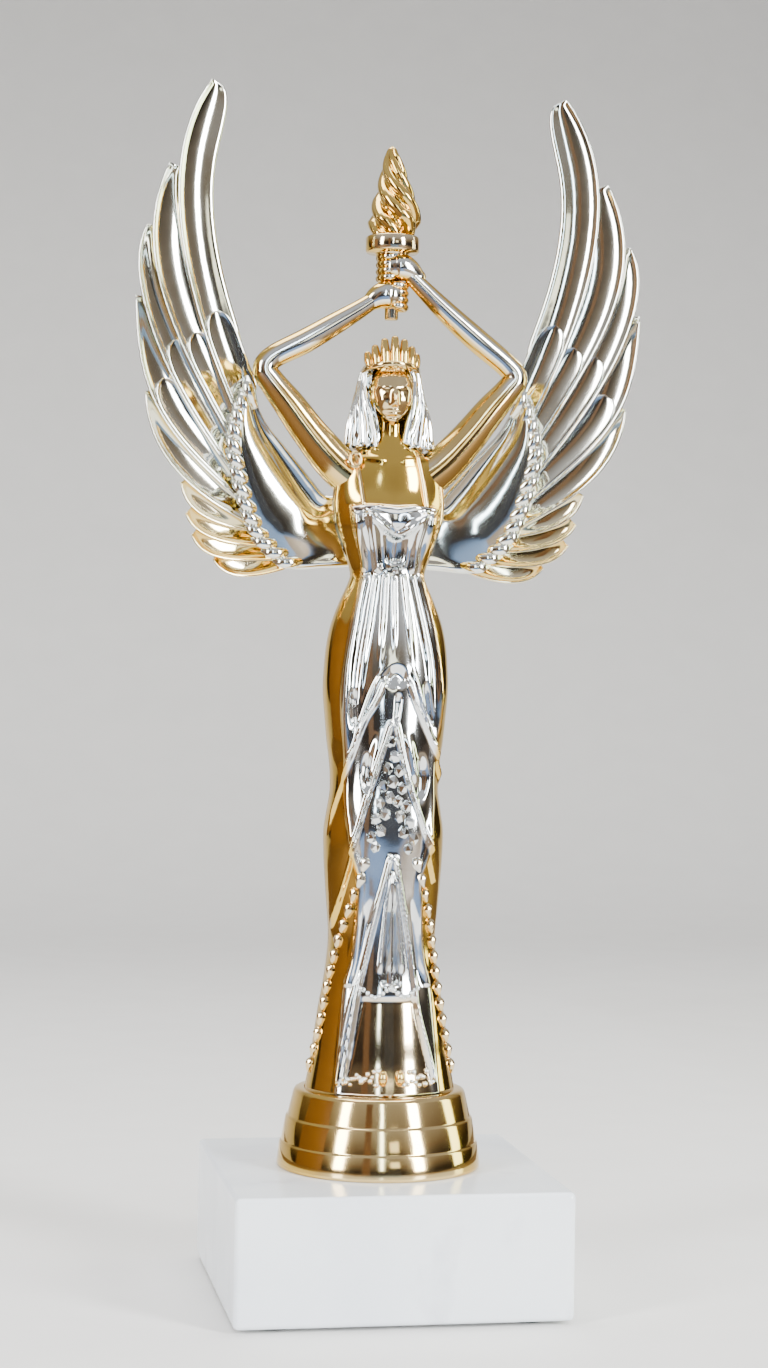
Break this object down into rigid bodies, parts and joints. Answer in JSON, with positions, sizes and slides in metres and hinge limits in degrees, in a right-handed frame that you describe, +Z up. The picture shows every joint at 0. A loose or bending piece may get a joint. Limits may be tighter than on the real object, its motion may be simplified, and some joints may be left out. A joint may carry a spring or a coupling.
{
  "type": "figure trophy",
  "caption": "Free-standing award: a metal-plated winged figure holding a torch overhead, on a stepped collar clamped to a square marble block.",
  "frame": {"origin": "centre of the underside, on the surface that the felt pads rest on", "axes": "+Z up along the figure's height; the figure faces -Y; +X is to the viewer's right when facing the figure"},
  "size_m": [0.125, 0.08, 0.2965],
  "materials": {
    "marble": "polished white marble with faint grey specks",
    "felt": "dark felt",
    "zinc_steel": "zinc-plated steel",
    "gold_plate": "mirror-bright gold vacuum plating over moulded plastic",
    "silver_plate": "mirror-bright silver vacuum plating over moulded plastic"
  },
  "bodies": {
    "root": {"marble_base": "marble", "base_pads": "felt", "threaded_rod": "zinc_steel", "base_nut": "zinc_steel", "lock_washer": "zinc_steel", "flat_washer": "zinc_steel", "foot_collar": "gold_plate", "captive_nut": "zinc_steel", "body_front": "silver_plate", "body_back": "gold_plate", "wing_left": "silver_plate", "wing_right": "silver_plate", "torch": "gold_plate"}
  },
  "joints": []
}
